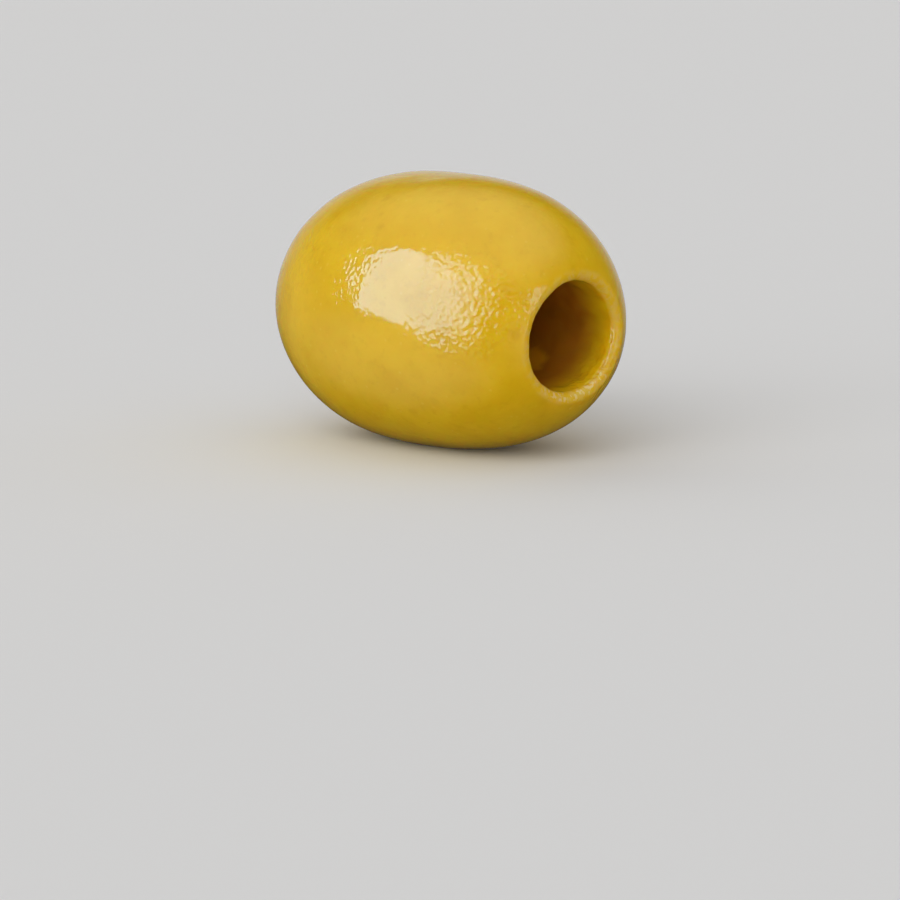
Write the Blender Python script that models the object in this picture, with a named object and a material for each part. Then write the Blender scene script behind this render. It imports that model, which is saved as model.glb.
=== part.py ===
"""A pitted green olive lying on its side: one solid with a cored cavity, a rounded mouth and a cross cut.

The fruit's long axis runs along X, and the mouth of its cavity faces +X. It rests on a small flat spot
under its belly. The origin is the bottom centre of its bounding box. All lengths are metres.

The surface is one sheet of meridians. Each runs from the far tip over the skin, round the lip of the
mouth and down the cavity to its tip. Angles go round the fruit's axis from straight up towards +Y.
"""

import math
from collections import namedtuple

import bmesh
import bpy
from mathutils import Vector

# The body before pitting: a superellipse turned about X, a little fuller than an ellipse
BODY_RADIUS = 0.0090
HALF_LENGTH = 0.01276
FULLNESS = 2.38

# The cored cavity: its mouth, the rounding of the mouth's edge, and where its tip lies
MOUTH_RADIUS = 0.00357
LIP_RADIUS = 0.00050
CAVITY_TIP_X = -0.0075
CAVITY_TAPER = 0.06
TIP_START = 0.69

# The corer went in a little below the fruit's axis. The skin's meridians spread round the mouth from here
MOUTH_OFFSET = Vector((0.0, -0.00005, -0.00069))
SPREAD_START = 0.0030

# What the pitting plunger leaves at the far end: a shallow dimple, and a cross cut with four tapering arms.
# The arms lie along meridians, reach this angle to either side, and meet in a small pit
DIMPLE_RADIUS = 0.0032
DIMPLE_DEPTH = 0.00030
CUT_ARM = 0.0028
CUT_PIT = 0.00035
CUT_DEPTH = 0.00090
CUT_HALF_ANGLE = math.radians(10)
CUT_TURN = math.radians(20)

# How far the belly is flattened where the fruit rests
REST_SAG = 0.00022

# Natural unevenness: share of the radius, lobes around, phase around, half waves along, phase along
SKIN_WAVES = (
    (0.0180, 2, 4.71, 1.0, 1.29),
    (0.0092, 3, 2.63, 1.0, 0.20),
    (0.0028, 4, 2.24, 1.5, 6.11),
)
MOUTH_WAVES = (
    (0.0120, 2, 2.75, 0.0, 0.0),
    (0.0040, 3, 0.40, 0.0, 0.0),
    (0.0030, 7, 2.00, 0.0, 0.0),
)
CAVITY_WAVES = (
    (0.0180, 3, 0.50, 1.0, 0.0),
    (0.0140, 5, 1.90, 2.0, 0.8),
    (0.0100, 8, 3.10, 3.0, 2.1),
)
CAVITY_WAVES_FULL = 0.25

# How finely the surface is divided. The skin's rings crowd together towards both of its ends
AROUND = 72
SKIN_RINGS = 42
END_CROWDING = 0.6
LIP_RINGS = 6
WALL_RINGS = 14
TIP_RINGS = 7
PROFILE_STEPS = 2000
BISECTIONS = 50
WIDEST_SEAT = 0.85 * BODY_RADIUS

# Skin colour and finish
SKIN_COLOUR = (0.52, 0.35, 0.035, 1.0)
SKIN_ROUGHNESS = 0.3

# Where the lip meets the skin on one meridian, and the centre and starting angle of the lip's arc
Seat = namedtuple("Seat", "x radius arc_x arc_radius arc_start")


def smoothstep(value):
    """Eases from 0 to 1 as value goes from 0 to 1."""
    value = min(1.0, max(0.0, value))
    return value * value * (3 - 2 * value)


def unevenness(waves, angle, along):
    """How much a radius swells there, as a share of it."""
    swell = 0.0
    for share, lobes, phase, half_waves, phase_along in waves:
        swell += share * math.cos(lobes * angle + phase) * math.cos(math.pi * half_waves * along + phase_along)
    return swell


def around_mouth(x, radius, angle, share=1.0):
    """The point at a radius and an angle round a centre that is share of the way from the axis to the mouth's."""
    return Vector((x, radius * math.sin(angle), radius * math.cos(angle))) + MOUTH_OFFSET * share


def body_profile(end_radius):
    """The uncut body's profile as points (x, radius), from the far tip to end_radius on the near side."""
    end = math.pi - math.asin((end_radius / BODY_RADIUS) ** (FULLNESS / 2))
    points = []
    for step in range(PROFILE_STEPS + 1):
        turn = end * step / PROFILE_STEPS
        along = math.cos(turn)
        x = -HALF_LENGTH * math.copysign(abs(along) ** (2 / FULLNESS), along)
        points.append((x, BODY_RADIUS * math.sin(turn) ** (2 / FULLNESS)))
    return points


def onto_body(point):
    """The point moved straight away from, or towards, the body's centre until it lies on the body."""
    off_axis = math.hypot(point.y, point.z)
    size = (abs(point.x) / HALF_LENGTH) ** FULLNESS + (off_axis / BODY_RADIUS) ** FULLNESS
    return point * size ** (-1 / FULLNESS)


def section_at_mouth(radius, angle):
    """The body's near end cut through the mouth's axis: x at that radius, and the outward direction there."""
    point = around_mouth(0.0, radius, angle)
    off_axis = math.hypot(point.y, point.z)
    x = HALF_LENGTH * (1 - (off_axis / BODY_RADIUS) ** FULLNESS) ** (1 / FULLNESS)
    outwards = (point.y * math.sin(angle) + point.z * math.cos(angle)) / off_axis
    slope_x = (x / HALF_LENGTH) ** (FULLNESS - 1) / HALF_LENGTH
    slope_radius = (off_axis / BODY_RADIUS) ** (FULLNESS - 1) / BODY_RADIUS * outwards
    length = math.hypot(slope_x, slope_radius)
    return x, slope_x / length, slope_radius / length


def mouth_radius(angle):
    """The mouth's radius inside its lip."""
    return MOUTH_RADIUS * (1 + unevenness(MOUTH_WAVES, angle, 0.0))


def lip_seat(angle):
    """Where an arc of the lip's radius touches both the skin and the cavity's wall."""
    arc_radius = mouth_radius(angle) + LIP_RADIUS
    low, high = arc_radius, WIDEST_SEAT
    for _ in range(BISECTIONS):
        radius = (low + high) / 2
        if radius - LIP_RADIUS * section_at_mouth(radius, angle)[2] > arc_radius:
            high = radius
        else:
            low = radius
    x, normal_x, normal_radius = section_at_mouth(radius, angle)
    return Seat(x, radius, x - LIP_RADIUS * normal_x, arc_radius, math.atan2(normal_radius, normal_x))


def crowded_to_ends(points, count):
    """The same line as count + 1 points, at shorter steps towards both of its ends."""
    lengths = [0.0]
    for before, after in zip(points, points[1:]):
        lengths.append(lengths[-1] + math.dist(before, after))
    spaced = []
    at = 0
    for step in range(count + 1):
        even = step / count
        crowded = (1 - math.cos(math.pi * even)) / 2
        target = lengths[-1] * (even + (crowded - even) * END_CROWDING)
        while at < len(points) - 2 and lengths[at + 1] < target:
            at += 1
        share = (target - lengths[at]) / (lengths[at + 1] - lengths[at])
        spaced.append([a + (b - a) * share for a, b in zip(points[at], points[at + 1])])
    return spaced


def cross_cut(off_axis, angle):
    """How far the plunger has pushed the far end in, at a distance from the fruit's axis and an angle."""
    from_arm = abs((angle - CUT_TURN + math.pi / 4) % (math.pi / 2) - math.pi / 4)
    within = max(0.0, 1 - from_arm / CUT_HALF_ANGLE, 1 - off_axis / CUT_PIT)
    cut = CUT_DEPTH * within * (1 - smoothstep(off_axis / CUT_ARM))
    return cut + DIMPLE_DEPTH * (1 - smoothstep(off_axis / DIMPLE_RADIUS))


def skin_points(line, seat, angle):
    """One meridian of the skin. It starts on the fruit's axis, and ends at the lip's seat."""
    end_x, end_radius = line[-1]
    points = []
    for x, radius in line:
        spread = smoothstep((x - SPREAD_START) / (end_x - SPREAD_START))
        x += (seat.x - end_x) * spread
        radius *= 1 + (seat.radius / end_radius - 1) * spread
        point = onto_body(around_mouth(x, radius, angle, spread))
        if x < 0:
            point.x += cross_cut(radius, angle)
        points.append(point)
    return points


def lip_points(seat, angle):
    """The rounded edge of the mouth, from the skin round to the cavity's wall."""
    points = []
    for step in range(1, LIP_RINGS + 1):
        turn = seat.arc_start - (seat.arc_start + math.pi / 2) * step / LIP_RINGS
        x = seat.arc_x + LIP_RADIUS * math.cos(turn)
        points.append(around_mouth(x, seat.arc_radius + LIP_RADIUS * math.sin(turn), angle))
    return points


def cavity_line():
    """The cavity's rings: how far each lies towards the tip, and its radius as a share of the mouth's."""
    line = []
    for step in range(1, WALL_RINGS + 1):
        inwards = TIP_START * step / WALL_RINGS
        line.append((inwards, 1 - CAVITY_TAPER * smoothstep(step / WALL_RINGS)))
    for step in range(1, TIP_RINGS + 1):
        turn = math.pi / 2 * step / TIP_RINGS
        inwards = TIP_START + (1 - TIP_START) * math.sin(turn)
        line.append((inwards, (1 - CAVITY_TAPER) * math.cos(turn)))
    return line


def cavity_points(line, seat, angle):
    """One meridian of the cavity. Its centre line runs straight from the mouth to the tip on the axis."""
    points = []
    for inwards, width in line:
        x = seat.arc_x + (CAVITY_TIP_X - seat.arc_x) * inwards
        uneven = unevenness(CAVITY_WAVES, angle, inwards) * smoothstep(inwards / CAVITY_WAVES_FULL)
        points.append(around_mouth(x, mouth_radius(angle) * width * (1 + uneven), angle, 1 - inwards))
    return points


def swollen(point):
    """The point moved out from the fruit's axis, or in, by the skin's natural unevenness."""
    swell = 1 + unevenness(SKIN_WAVES, math.atan2(point.y, point.z), point.x / HALF_LENGTH)
    return Vector((point.x, point.y * swell, point.z * swell))


def surface_rings():
    """The whole surface as rings of points, one point for each meridian."""
    angles = [2 * math.pi * step / AROUND for step in range(AROUND)]
    seats = [lip_seat(angle) for angle in angles]
    skin = crowded_to_ends(body_profile(sum(seat.radius for seat in seats) / AROUND), SKIN_RINGS)
    cavity = cavity_line()
    meridians = []
    for seat, angle in zip(seats, angles):
        points = skin_points(skin, seat, angle) + lip_points(seat, angle) + cavity_points(cavity, seat, angle)
        meridians.append([swollen(point) for point in points])
    return list(zip(*meridians))


def settled(rings):
    """The rings with the belly flattened where it rests, and the bottom centre of their box at the origin."""
    points = [point for ring in rings for point in ring]
    floor = min(point.z for point in points) + REST_SAG
    centre_x = (min(point.x for point in points) + max(point.x for point in points)) / 2
    centre_y = (min(point.y for point in points) + max(point.y for point in points)) / 2
    corner = Vector((centre_x, centre_y, floor))
    return [[Vector((point.x, point.y, max(point.z, floor))) - corner for point in ring] for ring in rings]


def join_rings(bm, before, after):
    """The faces between one ring of vertices and the next. A tip is a ring of one vertex."""
    for k in range(AROUND):
        following = (k + 1) % AROUND
        if len(before) == 1:
            corners = (before[0], after[k], after[following])
        elif len(after) == 1:
            corners = (before[k], after[0], before[following])
        else:
            corners = (before[k], after[k], after[following], before[following])
        bm.faces.new(corners)


def skin_material():
    """Olive yellow, with the soft gloss of a wet skin."""
    material = bpy.data.materials.new("olive_skin")
    material.use_nodes = True
    shader = material.node_tree.nodes["Principled BSDF"]
    shader.inputs["Base Color"].default_value = SKIN_COLOUR
    shader.inputs["Roughness"].default_value = SKIN_ROUGHNESS
    shader.inputs["Metallic"].default_value = 0.0
    return material


def make_olive():
    """The whole fruit as one closed mesh: skin, lip and cavity."""
    far_tip, *rings, cavity_tip = settled(surface_rings())
    bm = bmesh.new()
    rows = [[bm.verts.new(point) for point in ring] for ring in (far_tip[:1], *rings, cavity_tip[:1])]
    for before, after in zip(rows, rows[1:]):
        join_rings(bm, before, after)
    mesh = bpy.data.meshes.new("olive")
    bm.to_mesh(mesh)
    bm.free()
    mesh.shade_smooth()
    mesh.materials.append(skin_material())
    olive = bpy.data.objects.new("olive", mesh)
    bpy.context.scene.collection.objects.link(olive)


def main():
    for obj in list(bpy.data.objects):
        bpy.data.objects.remove(obj)
    make_olive()


main()
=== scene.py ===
"""A pitted green olive in fine detail: wet skin, rounded lip and cored cavity, on a pale studio floor.

The fruit's long axis runs along X, and the mouth of its cavity faces +X. Lengths are metres where nothing
else is said. Angles round the fruit's axis are counted from straight up towards +Y. The surface is a grid:
each column is a meridian that runs from the far tip over the skin, round the lip and down the cavity, and
each row is a ring.
"""

import math

import bpy
import numpy as np
from mathutils import Matrix, Vector


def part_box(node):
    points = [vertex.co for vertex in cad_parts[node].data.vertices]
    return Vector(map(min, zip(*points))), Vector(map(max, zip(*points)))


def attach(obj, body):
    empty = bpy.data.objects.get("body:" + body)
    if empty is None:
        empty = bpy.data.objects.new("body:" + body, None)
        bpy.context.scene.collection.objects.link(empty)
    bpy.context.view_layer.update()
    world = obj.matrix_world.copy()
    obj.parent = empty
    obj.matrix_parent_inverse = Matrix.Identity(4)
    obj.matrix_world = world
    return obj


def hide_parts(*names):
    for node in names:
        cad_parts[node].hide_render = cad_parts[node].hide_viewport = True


# The camera: where it stands, and the direction that it sees the fruit from, in degrees
CAMERA_PLACE = (0.12523, -0.11365, 0.03065)
CAMERA_AZIMUTH = -42.31
CAMERA_ELEVATION = 10.47
LENS_MM = 104
SENSOR_MM = 36
CLIP_START = 0.01
CLIP_END = 20

# The body before pitting: a superellipse turned about X, a little fuller than an ellipse
BODY_RADIUS = 0.0090
HALF_LENGTH = 0.01276
FULLNESS = 2.38

# The cored cavity: its mouth, the rounding of the mouth's edge, and where its tip lies
MOUTH_RADIUS = 0.00357
LIP_RADIUS = 0.00050
CAVITY_TIP_X = -0.0075
CAVITY_TAPER = 0.06
TIP_START = 0.69

# The corer went in a little below the fruit's axis. The skin's meridians spread round the mouth from here
MOUTH_OFFSET = np.array((0.0, -0.00005, -0.00069))
SPREAD_START = 0.0030

# What the pitting plunger leaves at the far end: a shallow dimple, and a cross cut with four tapering arms
DIMPLE_RADIUS = 0.0032
DIMPLE_DEPTH = 0.00030
CUT_ARM = 0.0028
CUT_PIT = 0.00035
CUT_DEPTH = 0.00090
CUT_HALF_ANGLE = math.radians(10)
CUT_TURN = math.radians(20)

# How far the belly is flattened where the fruit rests
REST_SAG = 0.00022

# Natural unevenness: share of the radius, lobes around, phase around, half waves along, phase along
SKIN_WAVES = (
    (0.0180, 2, 4.71, 1.0, 1.29),
    (0.0092, 3, 2.63, 1.0, 0.20),
    (0.0028, 4, 2.24, 1.5, 6.11),
)
MOUTH_WAVES = (
    (0.0120, 2, 2.75, 0.0, 0.0),
    (0.0040, 3, 0.40, 0.0, 0.0),
    (0.0030, 7, 2.00, 0.0, 0.0),
)
CAVITY_WAVES = (
    (0.0180, 3, 0.50, 1.0, 0.0),
    (0.0140, 5, 1.90, 2.0, 0.8),
    (0.0100, 8, 3.10, 3.0, 2.1),
)

# The share of the cavity's depth over which its waves grow to their full height
CAVITY_WAVES_FULL = 0.25

# How finely the surface is divided. The skin's rings crowd together towards both of its ends
AROUND = 400
SKIN_RINGS = 150
END_CROWDING = 0.6
LIP_RINGS = 22
WALL_RINGS = 54
TIP_RINGS = 18
PROFILE_STEPS = 4000

# The search for the lip's seat on the skin: how often it halves, and the widest seat that it tries
BISECTIONS = 40
WIDEST_SEAT = 0.85 * BODY_RADIUS

# Fine relief in the mesh. Each band of noise has its shortest and longest wave, its height and its seed
NOISE_WAVES = 40
LUMPS = (0.0028, 0.0060, 0.0000090, 1)
PEEL = (0.0007, 0.0014, 0.0000018, 2)
WALL_LUMPS = (0.0009, 0.0022, 0.000030, 3)
EDGE_NICKS = (0.0004, 0.0012, 0.000006, 4)
LIP_WRINKLES = (0.00045, 0.00100, 0.0000050, 5)

# How far in from the top of the lip the wall's relief begins, and how far on it is full
WALL_START = 0.0002
WALL_EASE = 0.0010

# Radial wrinkles in the skin round the lip: how far out they reach, and how much longer than wide they are
WRINKLE_REACH = 0.0018
WRINKLE_STRETCH = 5.0

# The burr that the corer left on the lip's inner edge: its place, width and height, and which way it faces.
# Its height varies about a level, by noise that is a share of the height
BURR_PLACE = 0.00036
BURR_WIDTH = 0.00008
BURR_HEIGHT = 0.000060
BURR_ANGLE = math.radians(125)
BURR_SPAN = math.radians(65)
BURR_LEVEL = 0.5
BURR_NOISE = (0.00024, 0.00070, 1.0, 6)

# The share of the CAD box that the finished mesh may fill
BOX_SHARE = 0.9997

MILLIMETRES = 1000


def smoothstep(value):
    """Eases from 0 to 1 as value goes from 0 to 1."""
    value = np.clip(value, 0.0, 1.0)
    return value * value * (3 - 2 * value)


def unevenness(waves, angle, along):
    """How much a radius swells there, as a share of it."""
    swell = 0.0
    for share, lobes, phase, half_waves, phase_along in waves:
        around = np.cos(lobes * angle + phase)
        lengthwise = np.cos(math.pi * half_waves * along + phase_along)
        swell = swell + share * around * lengthwise
    return swell


def band_noise(points, band):
    """Smooth noise of one band of wavelengths, at its height, as a sum of seeded plane waves."""
    shortest, longest, height, seed = band
    random = np.random.RandomState(seed)
    total = np.zeros(points.shape[:-1])
    for _ in range(NOISE_WAVES):
        direction = random.normal(size=3)
        direction /= np.linalg.norm(direction)
        wavelength = random.uniform(shortest, longest)
        phase = random.uniform(0, 2 * math.pi)
        total += np.cos(points @ direction * (2 * math.pi / wavelength) + phase)
    return total * (height * math.sqrt(2 / NOISE_WAVES))


def around_mouth(x, radius, angle, share=1.0):
    """Points at a radius and an angle round a centre, which is share of the way to the mouth's centre."""
    x, radius, angle, share = np.broadcast_arrays(x, radius, angle, share)
    round_centre = np.stack((x, radius * np.sin(angle), radius * np.cos(angle)), axis=-1)
    return round_centre + MOUTH_OFFSET * share[..., None]


def body_profile(end_radius):
    """The uncut body's profile as rows of (x, radius), from the far tip to end_radius on the near side."""
    end = math.pi - math.asin((end_radius / BODY_RADIUS) ** (FULLNESS / 2))
    turn = np.linspace(0, end, PROFILE_STEPS + 1)
    along = np.cos(turn)
    x = -HALF_LENGTH * np.copysign(np.abs(along) ** (2 / FULLNESS), along)
    return np.stack((x, BODY_RADIUS * np.sin(turn) ** (2 / FULLNESS)), axis=-1)


def onto_body(points):
    """The points moved straight away from, or towards, the body's centre until they lie on the body."""
    off_axis = np.hypot(points[..., 1], points[..., 2])
    size = (np.abs(points[..., 0]) / HALF_LENGTH) ** FULLNESS + (off_axis / BODY_RADIUS) ** FULLNESS
    return points * (size ** (-1 / FULLNESS))[..., None]


def section_at_mouth(radius, angle):
    """The body's near end at a radius and an angle round the mouth's centre.

    Gives x there, and the two parts of the outward direction: along X, and away from the mouth's centre.
    """
    point = around_mouth(0.0, radius, angle)
    off_axis = np.hypot(point[..., 1], point[..., 2])
    x = HALF_LENGTH * (1 - (off_axis / BODY_RADIUS) ** FULLNESS) ** (1 / FULLNESS)
    outwards = (point[..., 1] * np.sin(angle) + point[..., 2] * np.cos(angle)) / off_axis
    slope_x = (x / HALF_LENGTH) ** (FULLNESS - 1) / HALF_LENGTH
    slope_radius = (off_axis / BODY_RADIUS) ** (FULLNESS - 1) / BODY_RADIUS * outwards
    length = np.hypot(slope_x, slope_radius)
    return x, slope_x / length, slope_radius / length


def mouth_radius(angle):
    """The mouth's radius inside its lip, with the small nicks of the corer's cut."""
    smooth = MOUTH_RADIUS * (1 + unevenness(MOUTH_WAVES, angle, 0.0))
    return smooth + band_noise(around_mouth(HALF_LENGTH, MOUTH_RADIUS, angle), EDGE_NICKS)


def lip_seats(angle):
    """Where an arc of the lip's radius touches both the skin and the cavity's wall.

    Gives x and radius of its seat on the skin, x and radius of the arc's centre, and the arc's first angle.
    """
    arc_radius = mouth_radius(angle) + LIP_RADIUS
    low, high = arc_radius.copy(), np.full_like(angle, WIDEST_SEAT)
    for _ in range(BISECTIONS):
        radius = (low + high) / 2
        too_wide = radius - LIP_RADIUS * section_at_mouth(radius, angle)[2] > arc_radius
        high = np.where(too_wide, radius, high)
        low = np.where(too_wide, low, radius)
    x, normal_x, normal_radius = section_at_mouth(radius, angle)
    return x, radius, x - LIP_RADIUS * normal_x, arc_radius, np.arctan2(normal_radius, normal_x)


def crowded_to_ends(points, count):
    """The same line as count + 1 points, at shorter steps towards both of its ends."""
    steps = np.linalg.norm(np.diff(points, axis=0), axis=1)
    lengths = np.concatenate(((0.0,), np.cumsum(steps)))
    even = np.linspace(0, 1, count + 1)
    crowded = (1 - np.cos(math.pi * even)) / 2
    targets = lengths[-1] * (even + (crowded - even) * END_CROWDING)
    return np.stack([np.interp(targets, lengths, column) for column in points.T], axis=-1)


def cross_cut(off_axis, angle):
    """How far the plunger has pushed the far end in, at a distance from the fruit's axis and an angle."""
    from_arm = np.abs((angle - CUT_TURN + math.pi / 4) % (math.pi / 2) - math.pi / 4)
    within = np.maximum(0.0, np.maximum(1 - from_arm / CUT_HALF_ANGLE, 1 - off_axis / CUT_PIT))
    cut = CUT_DEPTH * within * (1 - smoothstep(off_axis / CUT_ARM))
    return cut + DIMPLE_DEPTH * (1 - smoothstep(off_axis / DIMPLE_RADIUS))


def skin_grid(line, seats, angle):
    """The skin's rings, from the far tip to the lip's seat."""
    seat_x, seat_radius = seats[:2]
    end_x, end_radius = line[-1]
    x, radius = line[:, :1], line[:, 1:]
    spread = smoothstep((x - SPREAD_START) / (end_x - SPREAD_START))
    moved_x = x + (seat_x - end_x) * spread
    moved_radius = radius * (1 + (seat_radius / end_radius - 1) * spread)
    points = onto_body(around_mouth(moved_x, moved_radius, angle[None, :], spread))
    points[..., 0] += np.where(moved_x < 0, cross_cut(moved_radius, angle[None, :]), 0.0)
    return points


def lip_grid(seats, angle):
    """The lip's rings, from the skin round to the cavity's wall."""
    arc_x, arc_radius, arc_start = seats[2:]
    step = np.arange(1, LIP_RINGS + 1)[:, None] / LIP_RINGS
    turn = arc_start - (arc_start + math.pi / 2) * step
    x = arc_x + LIP_RADIUS * np.cos(turn)
    radius = arc_radius + LIP_RADIUS * np.sin(turn)
    return around_mouth(x, radius, angle[None, :])


def cavity_grid(seats, angle):
    """The cavity's rings. Its centre line runs straight from the mouth to the tip on the fruit's axis."""
    wall = np.arange(1, WALL_RINGS + 1) / WALL_RINGS
    turn = math.pi / 2 * np.arange(1, TIP_RINGS + 1) / TIP_RINGS
    tip_inwards = TIP_START + (1 - TIP_START) * np.sin(turn)
    inwards = np.concatenate((TIP_START * wall, tip_inwards))[:, None]
    wall_width = 1 - CAVITY_TAPER * smoothstep(wall)
    tip_width = (1 - CAVITY_TAPER) * np.cos(turn)
    width = np.concatenate((wall_width, tip_width))[:, None]
    arc_x = seats[2]
    x = arc_x + (CAVITY_TIP_X - arc_x) * inwards
    uneven = unevenness(CAVITY_WAVES, angle, inwards) * smoothstep(inwards / CAVITY_WAVES_FULL)
    return around_mouth(x, mouth_radius(angle) * width * (1 + uneven), angle[None, :], 1 - inwards)


def swollen(points):
    """The points moved out from the fruit's axis, or in, by the skin's natural unevenness."""
    angle = np.arctan2(points[..., 1], points[..., 2])
    swell = 1 + unevenness(SKIN_WAVES, angle, points[..., 0] / HALF_LENGTH)
    return points * np.stack((np.ones_like(swell), swell, swell), axis=-1)


def outward(grid):
    """The outward direction at each point of the grid."""
    around = np.roll(grid, -1, axis=1) - np.roll(grid, 1, axis=1)
    along = np.gradient(grid, axis=0)
    normals = np.cross(around, along)
    normals[0] = (-1.0, 0.0, 0.0)
    normals[-1] = (1.0, 0.0, 0.0)
    return normals / np.linalg.norm(normals, axis=-1, keepdims=True)


def from_mouth(grid):
    """How far each point is from the lip's top along its meridian: below 0 on the skin, above 0 inside."""
    steps = np.linalg.norm(np.diff(grid, axis=0), axis=-1)
    lengths = np.concatenate((np.zeros((1, AROUND)), np.cumsum(steps, axis=0)))
    return lengths - lengths[SKIN_RINGS + LIP_RINGS // 2]


def burr(round_lip, distance, angle):
    """The height of the corer's ragged burr."""
    turned = np.abs((angle - BURR_ANGLE + math.pi) % (2 * math.pi) - math.pi)
    share = 1 - smoothstep(turned / BURR_SPAN)
    ragged = np.maximum(0.0, BURR_LEVEL + band_noise(round_lip, BURR_NOISE))
    return BURR_HEIGHT * share * ragged * np.exp(-(((distance - BURR_PLACE) / BURR_WIDTH) ** 2))


def relief(grid, distance, angle):
    """The fine relief's height at each point of the grid."""
    inside = smoothstep((distance - WALL_START) / WALL_EASE)
    skin = band_noise(grid, LUMPS) + band_noise(grid, PEEL)
    round_lip = around_mouth(distance / WRINKLE_STRETCH, MOUTH_RADIUS, angle[None, :])
    near_lip = smoothstep(1 + distance / WRINKLE_REACH) * (1 - inside)
    wrinkles = band_noise(round_lip, LIP_WRINKLES) * near_lip
    wall = band_noise(grid, WALL_LUMPS) * inside
    return skin * (1 - inside) + wall + wrinkles + burr(round_lip, distance, angle)


def settled(grid):
    """The grid fitted to the CAD model's box, with the belly flattened where the fruit rests."""
    low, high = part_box("olive")
    low, high = np.array(low), np.array(high)
    floor = grid[..., 2].min() + REST_SAG
    grid[..., 2] = np.maximum(grid[..., 2], floor)
    own_low, own_high = grid.min(axis=(0, 1)), grid.max(axis=(0, 1))
    scale = np.minimum(1.0, (high - low) / (own_high - own_low) * BOX_SHARE)
    anchor = np.array(((own_low[0] + own_high[0]) / 2, (own_low[1] + own_high[1]) / 2, own_low[2]))
    target = np.array(((low[0] + high[0]) / 2, (low[1] + high[1]) / 2, low[2]))
    return (grid - anchor) * scale + target


def olive_grid():
    """The whole surface as a grid of points, and each point's distance from the lip."""
    angle = 2 * math.pi * np.arange(AROUND) / AROUND
    seats = lip_seats(angle)
    line = crowded_to_ends(body_profile(seats[1].mean()), SKIN_RINGS)
    parts = (skin_grid(line, seats, angle), lip_grid(seats, angle), cavity_grid(seats, angle))
    grid = swollen(np.concatenate(parts))
    distance = from_mouth(grid)
    grid = grid + outward(grid) * relief(grid, distance, angle)[..., None]
    return settled(grid), distance


def grid_faces(rings):
    """The faces between the rings. The first and the last ring are one vertex each."""
    pairs = [(k, (k + 1) % AROUND) for k in range(AROUND)]
    faces = [(0, 1 + k, 1 + n) for k, n in pairs]
    for ring in range(rings - 3):
        near = 1 + ring * AROUND
        far = near + AROUND
        faces += [(near + k, far + k, far + n, near + n) for k, n in pairs]
    last = 1 + (rings - 2) * AROUND
    before = last - AROUND
    faces += [(before + k, last, before + n) for k, n in pairs]
    return faces


def without_copies(values):
    """The grid's values in vertex order, where the first and the last ring are one vertex each."""
    between_ends = values[1:-1].reshape(-1, *values.shape[2:])
    return np.concatenate((values[0, :1], between_ends, values[-1, :1]))


def link(name, data):
    """A new object in the scene."""
    obj = bpy.data.objects.new(name, data)
    bpy.context.scene.collection.objects.link(obj)
    return obj


def make_olive(material):
    """The fruit's surface as one mesh, with each vertex's distance from the lip in millimetres."""
    grid, distance = olive_grid()
    mesh = bpy.data.meshes.new("olive_surface")
    mesh.from_pydata(without_copies(grid).tolist(), [], grid_faces(len(grid)))
    attribute = mesh.attributes.new("from_lip", "FLOAT", "POINT")
    attribute.data.foreach_set("value", without_copies(distance).astype(np.float32) * MILLIMETRES)
    mesh.shade_smooth()
    mesh.materials.append(material)
    olive = link("olive_surface", mesh)
    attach(olive, "root")
    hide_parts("olive")


# The sockets that a Mix node uses for colours
MIX_SHARE = 0
MIX_FIRST = 6
MIX_SECOND = 7
MIX_RESULT = 2


class Nodes:
    """Adds nodes to one material, and links them."""

    def __init__(self, name):
        self.material = bpy.data.materials.new(name)
        self.material.use_nodes = True
        self.tree = self.material.node_tree
        self.shader = self.tree.nodes["Principled BSDF"]

    def add(self, kind, inputs=(), **settings):
        """A new node. Its settings are its properties, and inputs are pairs of a socket and what it gets."""
        node = self.tree.nodes.new(kind)
        for name, value in settings.items():
            setattr(node, name, value)
        for socket, value in inputs:
            self.put(node.inputs[socket], value)
        return node

    def put(self, socket, value):
        """Links value to the socket if it is another node's output, and else sets it there."""
        if isinstance(value, bpy.types.NodeSocket):
            self.tree.links.new(value, socket)
        else:
            socket.default_value = value

    def math(self, operation, *values):
        """The output of a Math node."""
        return self.add("ShaderNodeMath", enumerate(values), operation=operation).outputs[0]

    def noise(self, place, scale, detail, roughness, distortion=0.0):
        """The output of a Noise node, from 0 to 1."""
        inputs = (
            ("Vector", place),
            ("Scale", scale),
            ("Detail", detail),
            ("Roughness", roughness),
            ("Distortion", distortion),
        )
        return self.add("ShaderNodeTexNoise", inputs).outputs["Fac"]

    def between(self, value, low, high, to_low=0.0, to_high=1.0):
        """value eased from the range low to high onto the range to_low to to_high."""
        inputs = (
            ("Value", value),
            ("From Min", low),
            ("From Max", high),
            ("To Min", to_low),
            ("To Max", to_high),
        )
        return self.add("ShaderNodeMapRange", inputs, interpolation_type="SMOOTHSTEP").outputs["Result"]

    def mix(self, share, first, second):
        """The output of a Mix node for colours."""
        inputs = ((MIX_SHARE, share), (MIX_FIRST, first), (MIX_SECOND, second))
        return self.add("ShaderNodeMix", inputs, data_type="RGBA").outputs[MIX_RESULT]

    def bump(self, height, distance, below=None):
        """The normal of a surface that height, from 0 to 1, raises by up to distance."""
        inputs = [("Height", height), ("Distance", distance), ("Strength", 1.0)]
        if below is not None:
            inputs.append(("Normal", below))
        return self.add("ShaderNodeBump", inputs).outputs["Normal"]


# Colours of the skin and its marks
SKIN_BASE = (0.71, 0.450, 0.006, 1.0)
SKIN_LIGHT = (0.76, 0.50, 0.012, 1.0)
SKIN_DARK = (0.62, 0.36, 0.004, 1.0)
SPOT_COLOUR = (0.54, 0.30, 0.003, 1.0)
PORE_COLOUR = (0.82, 0.60, 0.060, 1.0)

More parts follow.
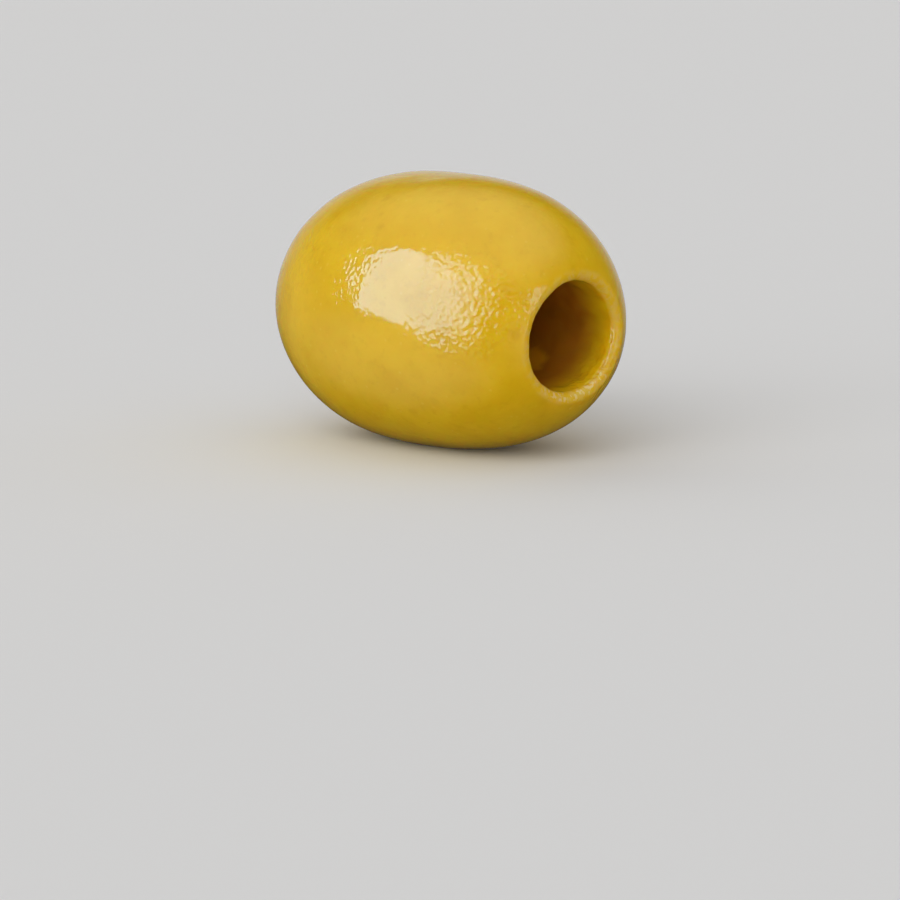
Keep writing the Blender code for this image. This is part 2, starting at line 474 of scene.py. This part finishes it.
# Colours of the cavity's wall near the mouth, of its painted shade deep inside and its painted pool of light
# in one patch, of the lip's pale flesh with painted sheen, and of the scuffed skin with painted glints
WALL_NEAR = (0.77, 0.505, 0.006, 1.0)
WALL_PAINTED_SHADE = (0.46, 0.18, 0.012, 1.0)
WALL_PAINTED_LIGHT = (0.72, 0.34, 0.012, 1.0)
LIP_PALE_AND_SHEEN = (0.72, 0.505, 0.125, 1.0)
SCUFF_AND_GLINT_COLOUR = (0.82, 0.70, 0.420, 1.0)

# How far light spreads in the flesh, each colour's share of that reach, and how the wet skin mirrors
FLESH_REACH = 0.0013
FLESH_SPREAD = (1.0, 0.5, 0.10)
FLESH_IOR = 1.42
MIRROR_LEVEL = 1.0

# Noise in the colours: waves to the metre, detail and roughness
MOTTLE = (260, 4.0, 0.6)
GRAIN = (1500, 3.0, 0.6)
STREAKS = (2200, 2.0, 0.6)
SPECKS = (3200, 1.0, 0.5)

# Noise in the bumps: waves to the metre, detail, roughness and distortion. The drift varies their height
PEEL_NOISE = (1000, 0.0, 0.5, 0.3)
RIPPLE_NOISE = (3300, 0.0, 0.5, 0.3)
DRIFT = (160, 1.0, 0.5)

# Scattered dots: cells to the metre, how far from its middle a dot is full and where it ends, as shares of
# a cell, and the share of the cells that stay empty. A cell's random number says how strong its dot is
SPOTS = (420, 0.06, 0.22, 0.1)
PORES = (1500, 0.06, 0.22, 0.3)
BEADS = (1250, 0.02, 0.15, 0.55)
STRONGEST_CELL = 0.95

# How strongly the marks show in the colour, the scuffed skin's painted glints among them
SPOT_SHARE = 0.28
PORE_SHARE = 0.4
SCUFF_AND_GLINT_SHARE = 0.5

# How high the bumps stand
PEEL_HEIGHT = 0.000035
RIPPLE_HEIGHT = 0.000050
BEAD_HEIGHT = 0.000015

# The share of peel and ripples that shows away from the rough patches, and what is added to it for ripples
SMOOTH_SHARE = 0.05
RIPPLE_SHARE = 0.13

# Eased ranges of noise: its low and high end, and what they turn into, if that isn't 0 and 1
LIGHTER = (0.35, 0.65)
DARKER = (0.52, 0.75, 0.0, 0.35)
STREAKED = (0.38, 0.62, 0.08, 0.60)
SPECKLED = (0.50, 0.60)
DRIFTING = (0.35, 0.65, 0.6, 1.2)
ROUGHNESS = (0.3, 0.7, 0.05, 0.09)

# Eased ranges across the lip, in millimetres in from its top: where the wall begins, where it darkens
# inwards as painted shade, the band of pale flesh with painted sheen, and the band of scuffed skin with
# painted glints. A band has an outer and an inner edge
INSIDE = (0.1, 0.8)
PAINTED_SHADE_DEPTHS = (0.5, 3.4)
LIP_PALE_AND_SHEEN_BAND = ((-0.75, -0.15), (0.6, 0.15))
SCUFF_AND_GLINT_BAND = ((-0.45, -0.15), (0.45, 0.2))

# Where the skin is rougher: each patch's middle, how far it is full, where it ends, and how rough it is
ROUGH_PATCHES = (
    ((0.0088, -0.0070, 0.0104), 0.0022, 0.0044, 1.4),
    ((0.0012, -0.0082, 0.0128), 0.0010, 0.0036, 0.35),
    ((-0.0060, -0.0075, 0.0120), 0.0015, 0.0040, 0.5),
    ((0.0119, -0.0042, 0.0100), 0.0006, 0.0020, 0.6),
    ((0.0113, 0.0026, 0.0060), 0.0012, 0.0030, 1.2),
)

# A patch of painted light on the cavity's wall, paler than the wall round it, with an edge that wavers with
# the mottle
PAINTED_LIGHT_MIDDLE = (0.0055, 0.0023, 0.0055)
PAINTED_LIGHT_EDGE = (0.0005, 0.0015, 1.0, 0.0)
PAINTED_LIGHT_WAVER = (0.3, 0.7, -0.0006, 0.0006)

# Where the skin is scuffed at the lip, with painted glints on it
SCUFF_AND_GLINT_MIDDLE = (0.0115, 0.0006, 0.0048)
SCUFF_AND_GLINT_EDGE = (0.0016, 0.0044, 1.0, 0.0)


def distance_to(nodes, place, middle):
    """How far place is from middle."""
    node = nodes.add("ShaderNodeVectorMath", ((0, place), (1, middle)), operation="DISTANCE")
    return node.outputs["Value"]


def dots(nodes, place, scale, full, end, empty):
    """Scattered soft dots, from 0 to 1, of unequal strength."""
    cells = nodes.add("ShaderNodeTexVoronoi", (("Vector", place), ("Scale", scale)))
    number = nodes.add("ShaderNodeSeparateColor", (("Color", cells.outputs["Color"]),)).outputs["Red"]
    dot = nodes.between(cells.outputs["Distance"], full, end, 1.0, 0.0)
    return nodes.math("MULTIPLY", dot, nodes.between(number, empty, STRONGEST_CELL))


def band(nodes, value, edges):
    """1 in the middle of a band and 0 outside it, eased at its outer and its inner edge."""
    outer, inner = edges
    return nodes.math("MULTIPLY", nodes.between(value, *outer), nodes.between(value, *inner))


def skin_bump(nodes, place):
    """The skin's normal: orange peel and fine ripples, stronger in the rough patches, and wet beads."""
    rougher = SMOOTH_SHARE
    for middle, full, end, share in ROUGH_PATCHES:
        patch = nodes.between(distance_to(nodes, place, middle), full, end, share, 0.0)
        rougher = nodes.math("ADD", rougher, patch)
    drift = nodes.between(nodes.noise(place, *DRIFT), *DRIFTING)
    rougher = nodes.math("MULTIPLY", rougher, drift)
    peel = nodes.math("MULTIPLY", nodes.noise(place, *PEEL_NOISE), rougher)
    finer = nodes.math("ADD", rougher, RIPPLE_SHARE)
    ripples = nodes.math("MULTIPLY", nodes.noise(place, *RIPPLE_NOISE), finer)
    normal = nodes.bump(ripples, RIPPLE_HEIGHT, nodes.bump(peel, PEEL_HEIGHT))
    return nodes.bump(dots(nodes, place, *BEADS), BEAD_HEIGHT, normal)


def skin_colour(nodes, place, mottle, grain):
    """Mottled skin with darker grain, soft brown spots and pale pores."""
    colour = nodes.mix(nodes.between(mottle, *LIGHTER), SKIN_BASE, SKIN_LIGHT)
    colour = nodes.mix(nodes.between(grain, *DARKER), colour, SKIN_DARK)
    spots = nodes.math("MULTIPLY", dots(nodes, place, *SPOTS), SPOT_SHARE)
    colour = nodes.mix(spots, colour, SPOT_COLOUR)
    pores = nodes.math("MULTIPLY", dots(nodes, place, *PORES), PORE_SHARE)
    return nodes.mix(pores, colour, PORE_COLOUR)


def wall_colour(nodes, place, from_lip, mottle):
    """The cavity's wall, darker and browner further in as painted shade, with one paler patch of painted
    light.
    """
    # Painted shade: the wall turns darker and browner the further in it lies
    colour = nodes.mix(nodes.between(from_lip, *PAINTED_SHADE_DEPTHS), WALL_NEAR, WALL_PAINTED_SHADE)
    # Painted light: a paler pool of light on the wall
    waver = nodes.between(mottle, *PAINTED_LIGHT_WAVER)
    from_painted_light = nodes.math("ADD", distance_to(nodes, place, PAINTED_LIGHT_MIDDLE), waver)
    return nodes.mix(nodes.between(from_painted_light, *PAINTED_LIGHT_EDGE), colour, WALL_PAINTED_LIGHT)


def with_lip(nodes, place, from_lip, colour):
    """The colour with pale streaky flesh round the lip, partly painted sheen, and the scuffed skin's specks,
    partly painted glints.
    """
    # The pale band round the lip is partly cut flesh and partly painted sheen
    streaks = nodes.between(nodes.noise(place, *STREAKS), *STREAKED)
    pale = nodes.math("MULTIPLY", band(nodes, from_lip, LIP_PALE_AND_SHEEN_BAND), streaks)
    colour = nodes.mix(pale, colour, LIP_PALE_AND_SHEEN)
    # The scuffed skin's pale specks are partly scuffed flesh and partly painted glints
    near = nodes.between(distance_to(nodes, place, SCUFF_AND_GLINT_MIDDLE), *SCUFF_AND_GLINT_EDGE)
    specks = nodes.between(nodes.noise(place, *SPECKS), *SPECKLED)
    specks = nodes.math("MULTIPLY", specks, band(nodes, from_lip, SCUFF_AND_GLINT_BAND))
    scuffs_and_glints = nodes.math("MULTIPLY", nodes.math("MULTIPLY", specks, near), SCUFF_AND_GLINT_SHARE)
    return nodes.mix(scuffs_and_glints, colour, SCUFF_AND_GLINT_COLOUR)


def flesh_material():
    """Wet olive skin over translucent flesh, which is pale at the lip, partly with painted sheen and glints,
    and browner down the cavity as painted shade, with one patch of painted light on its wall.
    """
    nodes = Nodes("olive_flesh")
    place = nodes.add("ShaderNodeTexCoord").outputs["Object"]
    from_lip = nodes.add("ShaderNodeAttribute", attribute_name="from_lip").outputs["Fac"]
    mottle = nodes.noise(place, *MOTTLE)
    grain = nodes.noise(place, *GRAIN)
    skin = skin_colour(nodes, place, mottle, grain)
    wall = wall_colour(nodes, place, from_lip, mottle)
    colour = nodes.mix(nodes.between(from_lip, *INSIDE), skin, wall)
    values = (
        ("Base Color", with_lip(nodes, place, from_lip, colour)),
        ("Subsurface Weight", 1.0),
        ("Subsurface Radius", FLESH_SPREAD),
        ("Subsurface Scale", FLESH_REACH),
        ("Roughness", nodes.between(grain, *ROUGHNESS)),
        ("IOR", FLESH_IOR),
        ("Specular IOR Level", MIRROR_LEVEL),
        ("Normal", skin_bump(nodes, place)),
    )
    nodes.shader.subsurface_method = "RANDOM_WALK"
    for socket, value in values:
        nodes.put(nodes.shader.inputs[socket], value)
    return nodes.material


# The floor: how far it reaches each way, how bright it looks, and how bright it is as a source of light
FLOOR_REACH = 4.0
FLOOR_COLOUR = (0.735, 0.73, 0.725, 1.0)
FLOOR_BOUNCE = (0.61, 0.61, 0.61, 1.0)

# The light from all round: on matt surfaces, in reflections, and where the camera sees past the floor
AMBIENT = 0.48
REFLECTED = 0.03
BACKDROP = 0.64

# What the lights and the cards face, and how far off the suns stand, which changes nothing in their light
BODY_CENTRE = Vector((0.00016, -0.00004, 0.00884))
SUN_DISTANCE = 0.35


def flat_shape(name, outline):
    """A flat mesh of one face that faces up, with the outline's points for its corners."""
    mesh = bpy.data.meshes.new(name)
    mesh.from_pydata([(x, y, 0) for x, y in outline], [], [tuple(range(len(outline)))])
    return mesh


def rectangle(width, height):
    """The outline of a rectangle round the origin."""
    w, h = width / 2, height / 2
    return (-w, -h), (w, -h), (w, h), (-w, h)


def make_floor():
    """A pale matt floor that fills the camera's view. It throws a little less light up than it shows."""
    mesh = flat_shape("floor", rectangle(2 * FLOOR_REACH, 2 * FLOOR_REACH))
    nodes = Nodes("floor_pale")
    unseen = nodes.add("ShaderNodeLightPath").outputs["Is Diffuse Ray"]
    nodes.put(nodes.shader.inputs["Base Color"], nodes.mix(unseen, FLOOR_COLOUR, FLOOR_BOUNCE))
    nodes.put(nodes.shader.inputs["Roughness"], 1.0)
    nodes.put(nodes.shader.inputs["Specular IOR Level"], 0.0)
    mesh.materials.append(nodes.material)
    floor = link("floor", mesh)
    floor.visible_glossy = False


def towards(azimuth, elevation):
    """The direction at an azimuth, counted from +X towards +Y, and an elevation, both in degrees."""
    a, e = math.radians(azimuth), math.radians(elevation)
    return Vector((math.cos(a) * math.cos(e), math.sin(a) * math.cos(e), math.sin(e)))


def placed(point, back):
    """The placing of a camera, a light or a card at a point, with its back towards back."""
    return Matrix.Translation(point) @ back.to_track_quat("Z", "Y").to_matrix().to_4x4()


def facing_fruit(azimuth, elevation, distance):
    """The placing of a light or a card that faces the fruit's centre from there."""
    direction = towards(azimuth, elevation)
    return placed(BODY_CENTRE + direction * distance, direction)


def ramp(nodes, value, stops):
    """value turned into a brightness by a ramp of (position, brightness) stops."""
    node = nodes.add("ShaderNodeValToRGB", (("Fac", value),))
    node.color_ramp.interpolation = "EASE"
    elements = node.color_ramp.elements
    elements[0].position, elements[-1].position = stops[0][0], stops[-1][0]
    for position, _ in stops[1:-1]:
        elements.new(position)
    for element, (_, bright) in zip(elements, stops):
        element.color = (bright, bright, bright, 1.0)
    return node.outputs["Color"]


def make_card(name, placing, outline, colour, strength, across, upwards):
    """A clear glowing card that only shows as a reflection. Its glow runs by two ramps, across and up."""
    mesh = flat_shape(name, outline)
    nodes = Nodes(name)
    nodes.tree.nodes.remove(nodes.shader)
    place = nodes.add("ShaderNodeTexCoord").outputs["Generated"]
    axes = nodes.add("ShaderNodeSeparateXYZ", (("Vector", place),)).outputs
    shape = nodes.math("MULTIPLY", ramp(nodes, axes["X"], across), ramp(nodes, axes["Y"], upwards))
    brightness = nodes.math("MULTIPLY", shape, strength)
    glow = nodes.add("ShaderNodeEmission", (("Color", colour), ("Strength", brightness))).outputs[0]
    clear = nodes.add("ShaderNodeBsdfTransparent").outputs[0]
    surface = nodes.add("ShaderNodeAddShader", ((0, glow), (1, clear))).outputs[0]
    nodes.put(nodes.tree.nodes["Material Output"].inputs["Surface"], surface)
    nodes.material.cycles.emission_sampling = "NONE"
    mesh.materials.append(nodes.material)
    card = link(name, mesh)
    card.matrix_world = facing_fruit(*placing)
    card.visible_camera = False
    card.visible_diffuse = False
    card.visible_shadow = False
    card.visible_transmission = False


def make_sun(name, azimuth, elevation, spread, energy):
    """A soft light from one side, the same everywhere. It shows in no reflection."""
    light = bpy.data.lights.new(name, "SUN")
    light.angle = math.radians(spread)
    light.energy = energy
    lamp = link(name, light)
    lamp.matrix_world = facing_fruit(azimuth, elevation, SUN_DISTANCE)
    lamp.visible_glossy = False


def make_world():
    """Even dim light from all round. Where the camera sees past the floor, it sees a pale backdrop."""
    world = bpy.data.worlds.new("studio")
    world.use_nodes = True
    tree = world.node_tree
    ray = tree.nodes.new("ShaderNodeLightPath").outputs
    strength = tree.nodes.new("ShaderNodeMix")
    strength.inputs["A"].default_value = AMBIENT
    strength.inputs["B"].default_value = REFLECTED
    tree.links.new(ray["Is Glossy Ray"], strength.inputs["Factor"])
    shown = tree.nodes.new("ShaderNodeMix")
    shown.inputs["B"].default_value = BACKDROP
    tree.links.new(ray["Is Camera Ray"], shown.inputs["Factor"])
    tree.links.new(strength.outputs["Result"], shown.inputs["A"])
    background = tree.nodes["Background"]
    background.inputs["Color"].default_value = WHITE
    tree.links.new(shown.outputs["Result"], background.inputs["Strength"])
    bpy.context.scene.world = world


def make_camera():
    """The camera, which sees the fruit from its mouth's side and a little from above."""
    data = bpy.data.cameras.new("camera")
    data.lens = LENS_MM
    data.sensor_width = SENSOR_MM
    data.clip_start = CLIP_START
    data.clip_end = CLIP_END
    camera = link("camera", data)
    camera.matrix_world = placed(CAMERA_PLACE, towards(CAMERA_AZIMUTH, CAMERA_ELEVATION))
    bpy.context.scene.camera = camera


WHITE = (1.0, 1.0, 1.0, 1.0)
KEY_COLOUR = (0.38, 0.70, 1.0, 1.0)
SIDE_COLOUR = (0.60, 0.85, 1.0, 1.0)

# How a card's glow runs from one edge to the other, as stops of (position, brightness)
EVEN = ((0.0, 1.0), (1.0, 1.0))
FADING = ((0.0, 1.0), (0.6, 0.9), (1.0, 0.15))
SOFT_EDGES = ((0.0, 0.0), (0.5, 1.0), (1.0, 0.0))
TABLE_UPWARDS = ((0.0, 0.0), (0.45, 1.0), (0.75, 1.0), (1.0, 0.0))
SIDE_UPWARDS = ((0.0, 0.0), (0.2, 0.4), (0.5, 0.6), (0.65, 1.0), (0.92, 1.0), (1.0, 0.0))
BACK_UPWARDS = ((0.0, 0.0), (0.35, 1.0), (0.55, 0.85), (1.0, 0.0))

# The main highlight's light is two cards side by side, a bright one and a fringe, which share this edge
SHARED_EDGE = (
    (-0.085, -0.060),
    (-0.060, -0.064),
    (-0.024, -0.060),
    (0.010, -0.044),
    (0.028, -0.014),
    (0.024, 0.018),
    (0.002, 0.042),
    (-0.026, 0.058),
    (-0.057, 0.070),
    (-0.091, 0.080),
)
KEY_OUTLINE = (
    (-0.158, -0.027),
    (-0.157, -0.046),
    (-0.141, -0.047),
    (-0.109, -0.051),
    *SHARED_EDGE,
    (-0.122, 0.080),
    (-0.146, 0.070),
    (-0.156, 0.045),
)
FRINGE_OUTLINE = (
    *SHARED_EDGE,
    (-0.040, 0.082),
    (0.000, 0.076),
    (0.040, 0.060),
    (0.072, 0.036),
    (0.090, 0.004),
    (0.088, -0.040),
    (0.066, -0.074),
    (0.016, -0.080),
    (-0.046, -0.084),
)

# The cards that the wet skin mirrors. Each has a name, a placing (azimuth and elevation in degrees, and
# distance), an outline, a colour and a strength, and the runs of its glow across it and up it
KEY_PLACING = (-85, 18, 0.120)
CARDS = (
    ("key_card", KEY_PLACING, KEY_OUTLINE, KEY_COLOUR, 4.5, EVEN, EVEN),
    ("key_fringe", KEY_PLACING, FRINGE_OUTLINE, KEY_COLOUR, 2.9, FADING, EVEN),
    ("side_card", (0, 4, 0.300), rectangle(0.13, 0.27), SIDE_COLOUR, 2.2, SOFT_EDGES, SIDE_UPWARDS),
    ("ceiling", (-90, 80, 0.600), rectangle(3.0, 2.4), WHITE, 0.62, SOFT_EDGES, SOFT_EDGES),
    ("end_card", (30, 56, 0.600), rectangle(0.9, 0.8), WHITE, 0.15, SOFT_EDGES, SOFT_EDGES),
    ("front_card", (-14, -14, 0.400), rectangle(0.46, 0.66), WHITE, 0.33, SOFT_EDGES, SOFT_EDGES),
    ("left_card", (-160, -4, 0.500), rectangle(0.9, 0.8), WHITE, 0.21, SOFT_EDGES, SOFT_EDGES),
    ("table_card", (-104, -38, 0.250), rectangle(0.76, 0.44), WHITE, 0.43, SOFT_EDGES, TABLE_UPWARDS),
    ("back_card", (136, 8, 0.600), rectangle(1.3, 0.56), WHITE, 0.58, SOFT_EDGES, BACK_UPWARDS),
)

# The lights on the matt flesh. Each has a name, an azimuth, an elevation, a spread in degrees and an energy
SUNS = (
    ("top_light", -80, 70, 120, 0.30),
    ("key_light", -70, 17, 76, 2.10),
    ("rim_light", 66, 0, 30, 0.42),
    ("back_light", 175, 25, 90, 0.42),
)

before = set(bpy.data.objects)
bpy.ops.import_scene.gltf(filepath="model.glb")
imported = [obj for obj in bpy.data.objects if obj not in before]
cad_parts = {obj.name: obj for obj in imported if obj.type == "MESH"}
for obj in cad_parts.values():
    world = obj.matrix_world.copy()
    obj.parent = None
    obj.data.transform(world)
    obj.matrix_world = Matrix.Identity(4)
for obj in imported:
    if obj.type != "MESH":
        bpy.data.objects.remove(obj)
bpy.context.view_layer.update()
make_camera()
make_olive(flesh_material())
make_floor()
for card in CARDS:
    make_card(*card)
for sun in SUNS:
    make_sun(*sun)
make_world()
bpy.context.scene.view_settings.view_transform = "Standard"
